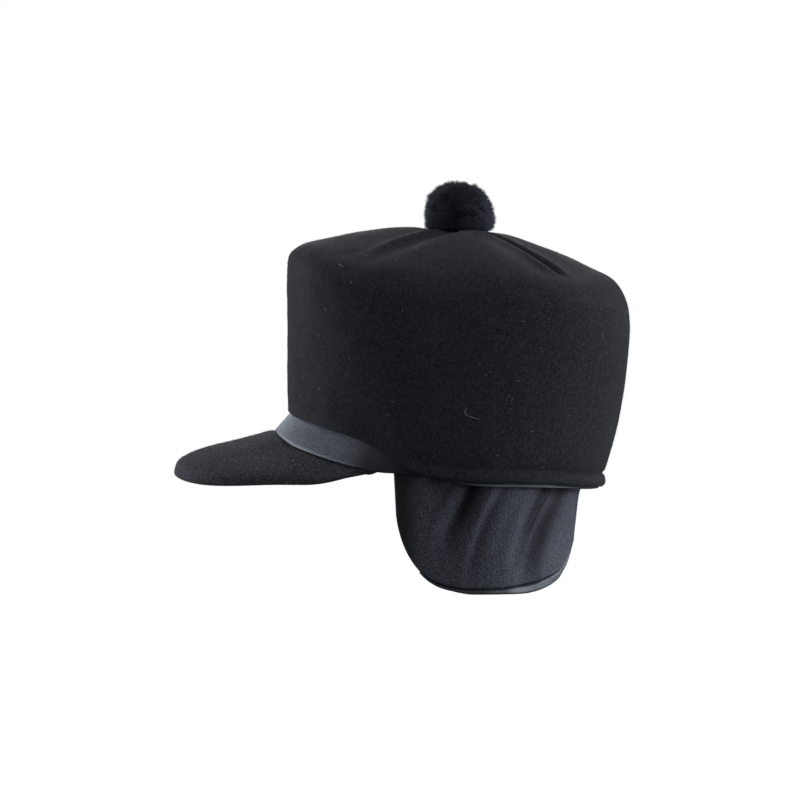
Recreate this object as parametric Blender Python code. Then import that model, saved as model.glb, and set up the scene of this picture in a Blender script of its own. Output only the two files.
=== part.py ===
"""A black wool earband cap: a tall felt crown pinched by four darts round a pompom, a grosgrain
ribbon, a felt peak, and one band of cloth that hangs from ear to ear round the nape.

Metres. The cap faces -Y, +Z is up and the wearer's left is +X. The origin is the middle of the
head opening, where the cap sits on the head.
"""

import math
import random

import bmesh
import bpy
from mathutils import Vector

# Head opening, inside the ribbon
HEAD_LENGTH = 0.1995
HEAD_WIDTH = 0.168
WIDEST_PLACE = 0.0080  # how far behind the origin the head, and so every section, is widest
GAP = 0.0003
LOOSE_GAP = 0.0008  # where cloth with its own gathers or flats lies inside the ribbon

# Ribbon
RIBBON_WIDTH = 0.021
RIBBON_WALL = 0.0012
RIBBON_FRONT_RISE = 0.0298  # its lower edge at the middle of the front
RIBBON_BACK_DROP = 0.009  # its lower edge at the nape
RIBBON_FLARE = 0.0140  # how far the lower edge stands out past the upper one, in front
FLARE_FADE = 1.6  # how fast that fades towards the sides

# Crown
CROWN_WALL = 0.0022
CROWN_HEIGHT = 0.1655
FRONT_EDGE_RISE = 0.0422  # the lower edge of the felt over the ribbon, in front
FRONT_SWELL = 0.0006  # how far the wall stands out past its own lower edge
SIDE_SWELL = 0.0115
BACK_SWELL = 0.0178
FRONT_SHOULDER_DROP = 0.0255  # from the top of the crown down to where the wall starts to turn in
SIDE_SHOULDER_DROP = 0.0575
BACK_SHOULDER_DROP = 0.0645
CORNER_DIP = 0.0065  # how far the four darts pull the top down between the panels
DART_DEPTH = 0.0016
DART_WIDTH = 0.0045
DART_PUFF = 0.55  # height of the felt beside a dart, as a share of its depth
DIMPLE_DEPTH = 0.0045
HEM_ROLL = 0.0024  # how far the rolled hem stands out
HEM_HEIGHT = 0.0076
ROLL_START = 68  # azimuth in degrees where the roll begins, and where it is full
ROLL_FULL = 88

# Peak
PEAK_LENGTH = 0.0700
PEAK_DROP = 0.0280  # from the ribbon's lower edge down to the tip
PEAK_SIDE_SAG = 0.0055
PEAK_WALL = 0.0040
PEAK_TUCK = 0.0050  # the strip of it that lies inside the ribbon
PEAK_ROUND = 0.0012
PEAK_END_WALL = 0.0014  # thinned where its ends slip inside the ribbon
PEAK_SPREAD = math.radians(62.0)  # azimuth of each end
PEAK_SQUARENESS = 2.35
PEAK_THIN_SHARE = 0.18  # the share of each half in which it thins

# Ear band
EAR_WALL = 0.0030
EAR_DEPTH = 0.0770
NAPE_DEPTH = 0.0470
EAR_STRAIGHT = 0.0150  # the upright stretch of the front edge, below the opening's plane
EAR_LEAN_SIDE = 0.0090
EAR_LEAN_BACK = 0.0165
EAR_TUCK_SHORT = 0.0030  # how far its upper edge stops below the ribbon's
EAR_FRONT = 66.3  # azimuth of the front edge, in degrees
EAR_SQUARENESS = 2.5  # of its round front corner
HEM_START = 77.0  # azimuth in degrees of the hem's end
SEAM_RISE = 3.0  # the degrees in which the seam rises from the edge, ahead of the hem's end
HEM_WIDTH = 0.0062
FOLD_DEPTH = 0.0034

# Pompom
POMPOM_WIDTH = 0.0480
POMPOM_UPPER = 0.0240  # from its widest level up
POMPOM_LOWER = 0.0102  # and down to the flat that rests on the crown
POMPOM_LOCK = 0.0032  # how far its locks stand out of the core
LOCK_TAPER = 0.55
LOCK_UNEVEN = 0.3

CROWN_COLUMNS = 64  # shared by the ribbon, whose flats then lie along the crown's
PEAK_COLUMNS = 28
EAR_COLUMNS = 60
HEM_COLUMNS = 48
CLOSE_UP = 0.5  # how much closer the crown's columns stand at its darts
EAR_CLOSE_UP = 1.3  # how the ear band's close up towards its front edges

# Lower edge of the felt: azimuth in degrees from the front, height as a share of FRONT_EDGE_RISE
FELT_EDGE = (
    (0, 1.00), (16, 0.91), (31, 0.79), (43, 0.68), (53, 0.565), (59, 0.46),
    (65, 0.32), (69, 0.20), (73, 0.09), (80, -0.03), (92, -0.11), (111, -0.145),
    (130, -0.16), (155, -0.20), (180, -0.20),
)

# Lower edge of the ribbon: azimuth, share of RIBBON_FRONT_RISE, share of RIBBON_BACK_DROP
RIBBON_EDGE = (
    (0, 1.00, 0.0), (14, 0.84, 0.0), (24, 0.655, 0.0), (32, 0.53, 0.0), (40, 0.40, 0.0),
    (47, 0.29, 0.0), (54, 0.185, 0.0), (62, 0.08, 0.0), (69, 0.055, 0.0), (76, 0.0, 0.0),
    (92, 0.0, -0.60), (111, 0.0, -0.80), (130, 0.0, -0.90), (155, 0.0, -1.03), (180, 0.0, -1.0),
)

# Rolled hem of the felt: height as a share of HEM_HEIGHT, swell as a share of HEM_ROLL, and how
# much of the wall's own swell is there
HEM_ROWS = (
    # height, roll, wall
    (0.00, 0.00, 0.00),
    (0.22, 0.85, 0.02),
    (0.55, 1.00, 0.03),
    (0.90, 0.60, 0.05),
    (1.15, 0.00, 0.07),
)

# Wall of the crown: climb from hem to shoulder, shares of the three swells, squareness
WALL_ROWS = (
    # climb, front, side, back, squareness
    (0.08, 0.30, 0.26, 0.20, 2.06),
    (0.24, 0.60, 0.50, 0.46, 2.12),
    (0.42, 0.90, 0.73, 0.68, 2.20),
    (0.60, 1.00, 0.91, 0.86, 2.30),
    (0.77, 1.00, 1.00, 0.96, 2.42),
    (0.90, 1.00, 1.00, 1.00, 2.55),
    (1.00, 0.95, 0.95, 1.00, 2.65),
)

# Top of the crown: reach as a share of the wall's, climb from shoulder to top, squareness, and
# shares of CORNER_DIP, DART_DEPTH and DIMPLE_DEPTH
TOP_ROWS = (
    # reach, front, side, back, squareness, dip, dart, dimple
    (0.988, 0.26, 0.13, 0.18, 2.70, 0.35, 0.10, 0.0),
    (0.950, 0.43, 0.27, 0.345, 2.75, 0.65, 0.35, 0.0),
    (0.890, 0.56, 0.42, 0.465, 2.75, 0.90, 0.75, 0.0),
    (0.780, 0.67, 0.56, 0.56, 2.70, 1.00, 1.00, 0.0),
    (0.620, 0.83, 0.71, 0.70, 2.60, 0.90, 1.00, 0.0),
    (0.440, 0.95, 0.84, 0.82, 2.45, 0.62, 0.95, 0.0),
    (0.280, 1.00, 0.935, 0.915, 2.25, 0.28, 0.70, 0.0),
    (0.170, 1.00, 0.975, 0.96, 2.10, 0.08, 0.30, 0.35),
    (0.080, 1.00, 1.00, 1.00, 2.00, 0.0, 0.0, 1.0),
    (0.000, 1.00, 1.00, 1.00, 2.00, 0.0, 0.0, 1.0),
)

# Peak: share of the way from ribbon to rim, share of the fall
PEAK_ROWS = (
    # out, fall
    (0.05, 0.01),
    (0.25, 0.09),
    (0.50, 0.245),
    (0.72, 0.40),
    (0.87, 0.545),
    (0.955, 0.72),
    (1.00, 1.00),
)

# Lower edge of the ear band behind the ear: azimuth, share of the step from nape to ear
EAR_EDGE = (
    (98, 1.0), (114, 1.0), (126, 0.985), (134, 0.93), (142, 0.82), (149, 0.68),
    (155, 0.51), (162, 0.30), (168, 0.13), (173, 0.03), (180, 0.0),
)

# Width of the ear band's hem: azimuth, share of HEM_WIDTH
HEM_EDGE = (
    (77, 0.16), (86, 0.38), (97, 0.55), (110, 0.62), (126, 0.95), (140, 1.0),
    (152, 0.80), (162, 0.45), (172, 0.22), (180, 0.22),
)

# Gathers of the ear band: azimuth of the upper end, lean forward on the way down, half width, all
# in degrees, then the share of FOLD_DEPTH and the share of the depth that it reaches
FOLD_START = 0.16  # share of the depth in which every gather opens out below the ribbon
FOLD_FULL = 0.35  # share of a gather's reach that has its full depth
FOLD_SWELL = 0.45  # swell of the cloth ahead of a gather, as a share of its depth
FOLD_BEND = 2.5  # how early on the way down a gather leans
FOLDS = (
    # azimuth, lean, half width, depth, reach
    (96.0, 25.0, 4.0, 0.45, 0.62),
    (110.0, 29.0, 5.0, 1.00, 0.78),
    (119.4, 23.6, 4.5, 0.25, 1.10),
    (144.6, 30.0, 5.5, 0.65, 0.85),
    (159.8, 33.0, 5.5, 0.80, 1.05),
    (160.0, 6.0, 4.0, 0.40, 0.60),
    (175.0, 6.0, 5.0, 0.50, 0.75),
)

# Lean of the ear band: share of its depth, share of the lean at the side and at the nape
EAR_LEAN = (
    (0.0, 0.0, 0.0), (0.15, 0.15, 0.38), (0.35, 0.42, 0.80), (0.60, 0.72, 0.90), (1.0, 1.0, 1.0),
)
EAR_ROWS = 7


def smooth_read(table, place, column):
    """The value in a column at a place between the rows, on one smooth curve, level at its ends."""
    place = min(max(place, table[0][0]), table[-1][0])
    index = max(i for i in range(len(table) - 1) if table[i][0] <= place)
    span = table[index + 1][0] - table[index][0]

    def slope(at):
        if at in (0, len(table) - 1):
            return 0.0
        before, after = table[at - 1], table[at + 1]
        return (after[column] - before[column]) / (after[0] - before[0])

    share = (place - table[index][0]) / span
    start, end = table[index][column], table[index + 1][column]
    return (
        start * (1 + 2 * share) * (1 - share) ** 2
        + end * (3 - 2 * share) * share**2
        + slope(index) * span * share * (1 - share) ** 2
        - slope(index + 1) * span * share**2 * (1 - share)
    )


def from_front(azimuth):
    """Degrees from the middle of the front, the same on both sides."""
    return abs(math.degrees(math.remainder(azimuth, math.tau)))


def ease(share):
    share = min(max(share, 0.0), 1.0)
    return share * share * (3 - 2 * share)


def front_side_back(azimuth, front, side, back):
    """A value that turns smoothly from front to side to back."""
    toward = math.cos(azimuth)
    return side + ((front if toward > 0 else back) - side) * toward**2


def squared(azimuth, squareness):
    """How far past an ellipse a squarer curve stands out: nothing on the axes, most between."""
    across, along = abs(math.sin(azimuth)), abs(math.cos(azimuth))
    return (across**squareness + along**squareness) ** (-1 / squareness)


def section(azimuth, front, side, back, squareness, height):
    """The point of one level section, from its reaches to the front, the side and the back."""
    bulge = squared(azimuth, squareness)
    reach = front + WIDEST_PLACE if math.cos(azimuth) > 0 else back - WIDEST_PLACE
    return Vector((
        side * math.sin(azimuth) * bulge,
        WIDEST_PLACE - reach * math.cos(azimuth) * bulge,
        height,
    ))


def ribbon_edge_height(azimuth):
    at = from_front(azimuth)
    rise = smooth_read(RIBBON_EDGE, at, 1) * RIBBON_FRONT_RISE
    return rise + smooth_read(RIBBON_EDGE, at, 2) * RIBBON_BACK_DROP


def ribbon_flare(azimuth):
    return RIBBON_FLARE * max(math.cos(azimuth), 0.0) ** FLARE_FADE


def ribbon_rise(azimuth):
    """How high the ribbon stands, which is less than its width where it flares."""
    return math.sqrt(RIBBON_WIDTH**2 - ribbon_flare(azimuth) ** 2)


def ribbon_top_height(azimuth):
    return ribbon_edge_height(azimuth) + ribbon_rise(azimuth)


def level_across(azimuth, thickness):
    """The level distance through a layer of this thickness that lies along the ribbon."""
    return thickness * RIBBON_WIDTH / ribbon_rise(azimuth)


def ribbon_point(azimuth, share, outset):
    """A point a share of the way up the ribbon, this far out from its inner face."""
    stand = ribbon_flare(azimuth) * (1 - share) + level_across(azimuth, outset)
    return section(
        azimuth,
        HEAD_LENGTH / 2 + stand,
        HEAD_WIDTH / 2 + stand,
        HEAD_LENGTH / 2 + stand,
        2.0,
        ribbon_edge_height(azimuth) + ribbon_rise(azimuth) * share,
    )


def felt_edge_height(azimuth):
    return smooth_read(FELT_EDGE, from_front(azimuth), 1) * FRONT_EDGE_RISE


def felt_edge_reach(azimuth):
    """How far the felt's lower edge stands out from the head opening, to clear the ribbon."""
    above = felt_edge_height(azimuth) - ribbon_edge_height(azimuth)
    share = min(max(above / ribbon_rise(azimuth), 0.0), 1.0)
    cover = level_across(azimuth, RIBBON_WALL + GAP)
    return ribbon_flare(azimuth) * (1 - share) + cover + CROWN_WALL


def crown_section(azimuth, front, side, back, squareness, height, share=1.0):
    """A section of the crown that stands out past the felt's edge, drawn in to a share of itself."""
    edge = felt_edge_reach(azimuth)
    point = section(
        azimuth,
        HEAD_LENGTH / 2 + edge + front,
        HEAD_WIDTH / 2 + edge + side,
        HEAD_LENGTH / 2 + edge + back,
        squareness,
        height,
    )
    middle = Vector((0.0, WIDEST_PLACE, height))
    return middle + (point - middle) * share


def shoulder_height(azimuth):
    drop = front_side_back(
        azimuth, FRONT_SHOULDER_DROP, SIDE_SHOULDER_DROP, BACK_SHOULDER_DROP
    )
    return CROWN_HEIGHT - drop


def dart_offset(azimuth, reach, depth):
    """The groove of the nearest dart and the puffed felt on each side of it."""
    away = abs(reach * math.remainder(azimuth - math.pi / 4, math.pi / 2)) / DART_WIDTH
    return depth * (DART_PUFF * math.exp(-((away - 1.6) ** 2)) - math.exp(-1.6 * away**2))


def crown_point(azimuth, row):
    edge_height = felt_edge_height(azimuth)
    rolled = ease((from_front(azimuth) - ROLL_START) / (ROLL_FULL - ROLL_START))
    if row < len(HEM_ROWS):
        height, roll, wall = HEM_ROWS[row]
        bulge = HEM_ROLL * roll * rolled
        return crown_section(
            azimuth,
            FRONT_SWELL * wall + bulge,
            SIDE_SWELL * wall + bulge,
            BACK_SWELL * wall + bulge,
            2.0,
            edge_height + HEM_HEIGHT * height,
        )
    row -= len(HEM_ROWS)
    foot = edge_height + HEM_HEIGHT * HEM_ROWS[-1][0]
    if row < len(WALL_ROWS):
        climb, front, side, back, squareness = WALL_ROWS[row]
        return crown_section(
            azimuth,
            FRONT_SWELL * front,
            SIDE_SWELL * side,
            BACK_SWELL * back,
            squareness,
            foot + (shoulder_height(azimuth) - foot) * climb,
        )
    reach, front, side, back, squareness, dip, dart, dimple = TOP_ROWS[row - len(WALL_ROWS)]
    shoulder = shoulder_height(azimuth)
    climb = front_side_back(azimuth, front, side, back)
    point = crown_section(
        azimuth, FRONT_SWELL, SIDE_SWELL, BACK_SWELL, squareness, 0.0, reach
    )
    corner = math.sin(2 * azimuth) ** 4
    groove = dart_offset(azimuth, reach * HEAD_LENGTH / 2, DART_DEPTH * dart)
    point.z = (
        shoulder
        + (CROWN_HEIGHT - shoulder) * climb
        - CORNER_DIP * dip * corner
        - DIMPLE_DEPTH * dimple
        + groove
    )
    return point


def crown_azimuth(column):
    """Columns stand closer together at the four darts."""
    even = math.tau * column / CROWN_COLUMNS
    return even + CLOSE_UP * math.sin(4 * even) / 4


def ear_outline(azimuth):
    """Height of the ear band's lower edge: a round front corner, the ear, then the nape."""
    at = from_front(azimuth)
    bottom = smooth_read(EAR_EDGE, at, 1)
    depth = NAPE_DEPTH + (EAR_DEPTH - NAPE_DEPTH) * bottom
    full = EAR_EDGE[0][0]
    if at < full:
        away = min((full - at) / (full - EAR_FRONT), 1.0)
        corner = (1 - away**EAR_SQUARENESS) ** (1 / EAR_SQUARENESS)
        depth = EAR_STRAIGHT + (EAR_DEPTH - EAR_STRAIGHT) * corner
    return -depth


def hem_width(azimuth):
    return smooth_read(HEM_EDGE, from_front(azimuth), 1) * HEM_WIDTH


def seam_height(azimuth):
    """Where the ear band ends and its hem begins."""
    blend = ease((from_front(azimuth) - HEM_START) / SEAM_RISE + 1)
    return ear_outline(azimuth) + hem_width(azimuth) * blend


def fold_depth(azimuth, share):
    """How far the gathers sink in the cloth, a share of the way down."""
    at = from_front(azimuth)
    leant = 1 - max(1 - share, 0.0) ** FOLD_BEND
    sink = 0.0
    for place, lean, half_width, depth, reach in FOLDS:
        away = (at - place + lean * leant) / half_width
        start = ease(share / FOLD_START)
        fade = 1 - ease((share / reach - FOLD_FULL) / (1 - FOLD_FULL))
        across = math.exp(-(away**2)) - FOLD_SWELL * math.exp(-((away + 1.7) ** 2))
        sink += depth * start * fade * across
    return FOLD_DEPTH * sink


def ear_point(azimuth, height):
    """A point on the outer face of the ear band."""
    top = ribbon_top_height(azimuth) - EAR_TUCK_SHORT
    share = (top - height) / (top + EAR_DEPTH)
    side = smooth_read(EAR_LEAN, share, 1) * EAR_LEAN_SIDE
    back = smooth_read(EAR_LEAN, share, 2) * EAR_LEAN_BACK
    sink = fold_depth(azimuth, share) * ease((from_front(azimuth) - EAR_FRONT) / 5)
    return section(
        azimuth,
        HEAD_LENGTH / 2 - LOOSE_GAP - side - sink,
        HEAD_WIDTH / 2 - LOOSE_GAP - side - sink,
        HEAD_LENGTH / 2 - LOOSE_GAP - back - sink,
        2.0,
        height,
    )


def ear_azimuth(column, columns, start):
    """From one front edge round the nape to the other, closer together towards the fronts."""
    half = 1 - abs(2 * column / columns - 1)
    away = math.radians(180 - start) * half**EAR_CLOSE_UP
    return math.pi + (away - math.radians(180 - start)) * (1 if column <= columns / 2 else -1)


def peak_point(column, row):
    """A point on the peak's upper face: up inside the ribbon, under its edge, then out to the rim."""
    turn = math.pi / 2 * (2 * column / PEAK_COLUMNS - 1)
    azimuth = PEAK_SPREAD * (2 * column / PEAK_COLUMNS - 1)
    if row == 0:
        return ribbon_point(azimuth, PEAK_TUCK / RIBBON_WIDTH, -LOOSE_GAP)
    below = -(RIBBON_WALL + LOOSE_GAP) / RIBBON_WIDTH
    root = ribbon_point(azimuth, below, -LOOSE_GAP)
    if row == 1:
        return root
    end = ribbon_point(PEAK_SPREAD, below, -LOOSE_GAP)
    middle = ribbon_point(0.0, below, -LOOSE_GAP)
    bulge = squared(turn, PEAK_SQUARENESS)
    tip = middle.y - PEAK_LENGTH
    rim = Vector((
        end.x * math.sin(turn) * bulge,
        end.y + (tip - end.y) * math.cos(turn) * bulge,
        0.0,
    ))
    low_end = end.z - GAP
    low_tip = middle.z - PEAK_DROP
    rim.z = low_end + (low_tip - low_end) * math.cos(turn) ** 2
    rim.z -= PEAK_SIDE_SAG * math.sin(2 * turn) ** 2
    out, fall = PEAK_ROWS[row - 2]
    point = root.lerp(rim, out)
    point.z = root.z + (rim.z - root.z) * fall
    return point


def cloth_material(name, color, roughness):
    material = bpy.data.materials.new(name)
    material.use_nodes = True
    shader = material.node_tree.nodes["Principled BSDF"]
    shader.inputs["Base Color"].default_value = (*color, 1.0)
    shader.inputs["Roughness"].default_value = roughness
    shader.inputs["Metallic"].default_value = 0.0
    return material


def put(name, mesh, material):
    """Makes an object of a bmesh, held by the head seat."""
    data = bpy.data.meshes.new(name)
    mesh.to_mesh(data)
    mesh.free()
    data.shade_smooth()
    data.materials.append(material)
    made = bpy.data.objects.new(name, data)
    made.parent = bpy.data.objects["head_seat"]
    bpy.context.scene.collection.objects.link(made)
    return made


def sheet(columns, rows, place, fullness=None):
    """A grid of cloth whose corners are set by place(column, row), outer face up. fullness(column)
    is how much of its wall it has there."""
    mesh = bmesh.new()
    bmesh.ops.create_grid(mesh, x_segments=columns, y_segments=rows, size=0.5)
    weights = mesh.verts.layers.deform.verify()
    for corner in mesh.verts:
        column = round((corner.co.x + 0.5) * columns)
        row = round((corner.co.y + 0.5) * rows)
        corner.co = place(column, row)
        if fullness:
            corner[weights][0] = fullness(column)
    bmesh.ops.remove_doubles(mesh, verts=mesh.verts, dist=1e-6)
    return mesh


def thicken(made, wall):
    """Gives a sheet its wall, towards the head."""
    solidify = made.modifiers.new("wall", "SOLIDIFY")
    solidify.thickness = wall
    solidify.offset = -1
    solidify.use_even_offset = True


def make_crown():
    rows = len(HEM_ROWS) + len(WALL_ROWS) + len(TOP_ROWS) - 1
    mesh = sheet(CROWN_COLUMNS, rows, lambda c, r: crown_point(crown_azimuth(c), r))
    felt = cloth_material("black_felt", (0.018, 0.019, 0.022), 0.95)
    thicken(put("crown", mesh, felt), CROWN_WALL)


def make_ribbon():
    def place(column, row):
        return ribbon_point(crown_azimuth(column), row, RIBBON_WALL)

    mesh = sheet(CROWN_COLUMNS, 1, place)
    grosgrain = cloth_material("grey_grosgrain", (0.10, 0.115, 0.13), 0.6)
    thicken(put("ribbon_band", mesh, grosgrain), RIBBON_WALL)


def make_peak():
    def fullness(column):
        return ease((1 - abs(2 * column / PEAK_COLUMNS - 1)) / PEAK_THIN_SHARE)

    mesh = sheet(PEAK_COLUMNS, len(PEAK_ROWS) + 1, peak_point, fullness)
    bmesh.ops.reverse_faces(mesh, faces=mesh.faces)
    felt = cloth_material("peak_felt", (0.024, 0.026, 0.03), 0.95)
    peak = put("peak", mesh, felt)
    thicken(peak, PEAK_WALL)
    peak.vertex_groups.new(name="full")
    peak.modifiers["wall"].vertex_group = "full"
    peak.modifiers["wall"].thickness_vertex_group = PEAK_END_WALL / PEAK_WALL
    edge = peak.modifiers.new("edge", "BEVEL")
    edge.width = PEAK_ROUND
    edge.segments = 1
    edge.limit_method = "ANGLE"
    edge.angle_limit = math.radians(60)


def make_ear_band():
    def place(column, row):
        azimuth = ear_azimuth(column, EAR_COLUMNS, EAR_FRONT)
        low = seam_height(azimuth)
        if from_front(azimuth) > HEM_START - SEAM_RISE:
            low += GAP
        high = ribbon_top_height(azimuth) - EAR_TUCK_SHORT
        return ear_point(azimuth, low + (high - low) * row / EAR_ROWS)

    mesh = sheet(EAR_COLUMNS, EAR_ROWS, place)
    flannel = cloth_material("blue_grey_flannel", (0.045, 0.052, 0.068), 0.85)
    thicken(put("ear_band", mesh, flannel), EAR_WALL)


def make_ear_band_hem():
    def place(column, row):
        azimuth = ear_azimuth(column, HEM_COLUMNS, HEM_START)
        low, high = ear_outline(azimuth), seam_height(azimuth)
        return ear_point(azimuth, low + (high - low) * row)

    mesh = sheet(HEM_COLUMNS, 1, place)
    facing = cloth_material("light_facing", (0.10, 0.13, 0.155), 0.7)
    thicken(put("ear_band_hem", mesh, facing), EAR_WALL)


def make_pompom():
    """A ball of tapered wool locks, one on each face of its core, flat where it rests."""
    mesh = bmesh.new()
    core = POMPOM_WIDTH / 2 - POMPOM_LOCK
    bmesh.ops.create_icosphere(mesh, subdivisions=3, radius=core)
    chance = random.Random(5)
    locks = bmesh.ops.extrude_discrete_faces(mesh, faces=mesh.faces[:])["faces"]
    for lock in locks:
        middle = lock.calc_center_median()
        short = POMPOM_LOCK * chance.uniform(0, LOCK_UNEVEN)
        tip = middle.normalized() * (POMPOM_WIDTH / 2 - short)
        for corner in lock.verts:
            corner.co = tip + (corner.co - middle) * LOCK_TAPER
    for corner in mesh.verts:
        height = POMPOM_UPPER if corner.co.z > 0 else POMPOM_LOWER
        corner.co.z *= height / (POMPOM_WIDTH / 2)
    wool = cloth_material("pompom_wool", (0.008, 0.009, 0.012), 1.0)
    pompom = put("pompom", mesh, wool)
    seat = CROWN_HEIGHT - DIMPLE_DEPTH
    pompom.location = (0.0, WIDEST_PLACE, seat + GAP + POMPOM_LOWER)


for left_over in list(bpy.data.objects):
    bpy.data.objects.remove(left_over)
head_seat = bpy.data.objects.new("head_seat", None)
bpy.context.scene.collection.objects.link(head_seat)

make_crown()
make_ribbon()
make_peak()
make_ear_band()
make_ear_band_hem()
make_pompom()
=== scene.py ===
"""Dresses the earband cap: brushed black felt with four pressed darts, a wool pompom, a ribbed
grosgrain ribbon, a felt peak and a gathered ear band with a pale facing.

Metres. The cap faces -Y, +Z is up and the wearer's left is +X.
"""

import math
import random

import bmesh
import bpy
from mathutils import Matrix, Vector, noise


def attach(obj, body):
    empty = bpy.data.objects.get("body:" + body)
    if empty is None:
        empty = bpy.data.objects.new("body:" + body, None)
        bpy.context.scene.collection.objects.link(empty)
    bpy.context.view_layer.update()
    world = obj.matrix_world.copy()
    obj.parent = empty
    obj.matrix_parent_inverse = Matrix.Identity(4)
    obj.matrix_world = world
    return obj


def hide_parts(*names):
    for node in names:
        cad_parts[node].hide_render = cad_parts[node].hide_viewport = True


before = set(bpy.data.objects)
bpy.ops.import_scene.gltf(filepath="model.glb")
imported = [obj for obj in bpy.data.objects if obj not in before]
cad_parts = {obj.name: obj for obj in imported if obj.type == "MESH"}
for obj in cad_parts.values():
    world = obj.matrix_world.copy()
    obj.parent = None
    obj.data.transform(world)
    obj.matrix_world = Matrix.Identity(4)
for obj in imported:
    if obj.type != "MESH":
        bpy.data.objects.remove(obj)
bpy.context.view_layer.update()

# Head opening, inside the ribbon
HEAD_LENGTH = 0.1995
HEAD_WIDTH = 0.168
WIDEST_PLACE = 0.0080  # how far behind the origin the head, and so every section, is widest
GAP = 0.0003
LOOSE_GAP = 0.0008

# Ribbon
RIBBON_WIDTH = 0.021
RIBBON_WALL = 0.0012
RIBBON_FRONT_RISE = 0.0298
RIBBON_BACK_DROP = 0.009
RIBBON_FLARE = 0.0140
FLARE_FADE = 1.6
RIBS = 448  # cords across the ribbon, all the way round
RIB_HEIGHT = 0.00025
SELVEDGE_HEIGHT = 0.00016
SELVEDGE_SHARE = 0.075
RIB_FADE_START = 46  # degrees from the front where the cords begin to flatten
RIB_FADE_SPAN = 14
RIB_FADE = 0.8  # how much of their height goes

# Crown
CROWN_WALL = 0.0022
CROWN_HEIGHT = 0.1655
FRONT_EDGE_RISE = 0.0422
FRONT_SWELL = 0.0006
SIDE_SWELL = 0.0115
BACK_SWELL = 0.0178
FRONT_SHOULDER_DROP = 0.0255
SIDE_SHOULDER_DROP = 0.0575
BACK_SHOULDER_DROP = 0.0645
CORNER_DIP = 0.0048
DART_DEPTH = 0.0021
DART_WIDTH = 0.0040
DART_FADE = 0.005  # how far above the shoulder a dart is full
DIMPLE_DEPTH = 0.0045
HEM_ROLL = 0.0019
HEM_HEIGHT = 0.0076
ROLL_START = 68
ROLL_FULL = 88
CREASE_DEPTH = 0.0012  # pressed line above the rolled hem
CREASE_WIDTH = 0.0011
CREASE_PLACE = 1.2  # its height as a share of HEM_HEIGHT
CREASE_LEAST = 0.25  # how much of its depth it has at the sides
CREASE_START = 98
CREASE_SPAN = 22
TOP_SQUARENESS = 2.7
FELT_WAVES = ((0.0009, 24), (0.00035, 75))  # unevenness: height, and waves to a metre

# Peak
PEAK_LENGTH = 0.0700
PEAK_DROP = 0.0280
PEAK_SIDE_SAG = 0.0066
PEAK_WALL = 0.0040
PEAK_TUCK = 0.0050
PEAK_END_WALL = 0.0014
PEAK_SPREAD = math.radians(62.0)
PEAK_SQUARENESS = 2.35
PEAK_THIN_SHARE = 0.18
PEAK_END_SAG = 0.0034
PEAK_SAG_TURN = 1.30  # where its ends sag, as an angle round it, and how wide that is
PEAK_SAG_WIDTH = 0.21
PEAK_END_LIFT = 0.0040  # how far up inside the ribbon its ends reach
PEAK_LIFT_START = 0.78  # share of the way from its middle to its ends
PEAK_ENDS_BEHIND = -0.05  # its ends lie behind this and above the next
PEAK_ENDS_ABOVE = -0.001
PEAK_UNEVEN = 0.0005
PEAK_WAVES = 38  # to a metre
PEAK_CLEAR = -0.075  # it is uneven ahead of this, where nothing lies on it
PEAK_CLEAR_FADE = 0.02

# Ear band
EAR_WALL = 0.0030
EAR_DEPTH = 0.0774
NAPE_DEPTH = 0.0470
EAR_STRAIGHT = 0.0150
EAR_LEAN_SIDE = 0.0090
EAR_LEAN_BACK = 0.0165
EAR_LEAN_MEAN = 0.7  # share of EAR_LEAN_BACK that it has at half height
EAR_TUCK_SHORT = 0.0030
EAR_FRONT = 64.9
EAR_SQUARENESS = 2.35
HEM_START = 77.0
SEAM_RISE = 3.0
HEM_WIDTH = 0.0062
FOLD_DEPTH = 0.0042
FOLD_START = 0.16
FOLD_FULL = 0.35
FOLD_SWELL = 0.20
FOLD_STEEP = 1.7  # how much shorter the slope in front of a gather is
FOLD_BEND = 1.7
SWELL_AHEAD = 1.9  # where the cloth swells ahead of a gather, in widths of its steep slope
HOLLOW_BEHIND = 0.55  # where the painted shade in a gather is darkest, in widths behind its deepest line
HOLLOW_WIDTH = 0.75
FRONT_FLAT = 5  # degrees from a front edge to where the gathers are full
WRINKLE_DEPTH = 0.0005
WRINKLE_LEAN = 27  # in degrees, as is their width
WRINKLE_WIDTH = 6.5
WRINKLE_RUN = 1.6  # how many follow one another down the band
OTHER_SIDE = 7.0  # where the pattern is read for the wearer's right
EDGE_LEAST = 0.1  # share of the wall left at a rounded edge
FACING_WALL = 0.0022
FACING_SUNK = 0.0002  # how far its face lies behind the flannel's
FACING_TUCK = 0.0030  # how far it reaches up behind the band

# Pompom
POMPOM_WIDTH = 0.0490
POMPOM_UPPER = 0.0250
POMPOM_LOWER = 0.0104
POMPOM_CORE = 0.0212
YARNS = 1150  # cut ends of yarn
STRANDS = 12  # fibres that each end opens into
STRAND_WIDTH = 0.00052
STRAND_CURL = 0.0007
STRAND_SPREAD = 0.030  # how far the fibres open, as a share of the reach
STRAND_LEAST = 0.975  # the shortest, as a share of the longest
STRAND_ROOT = 0.8  # where they start, as a share of POMPOM_CORE
YARN_UNEVEN = (-0.014, 0.006)  # how much shorter or longer a yarn is
POMPOM_LUMPS = ((0.03, 2.3), (0.085, 5.6))  # height, and how many to its radius
SQUARE_ABOVE = 2.22  # squareness of its outline
SQUARE_BELOW = 5.0
POMPOM_LEAN = 0.0018  # how far its top stands forward of its middle

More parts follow.
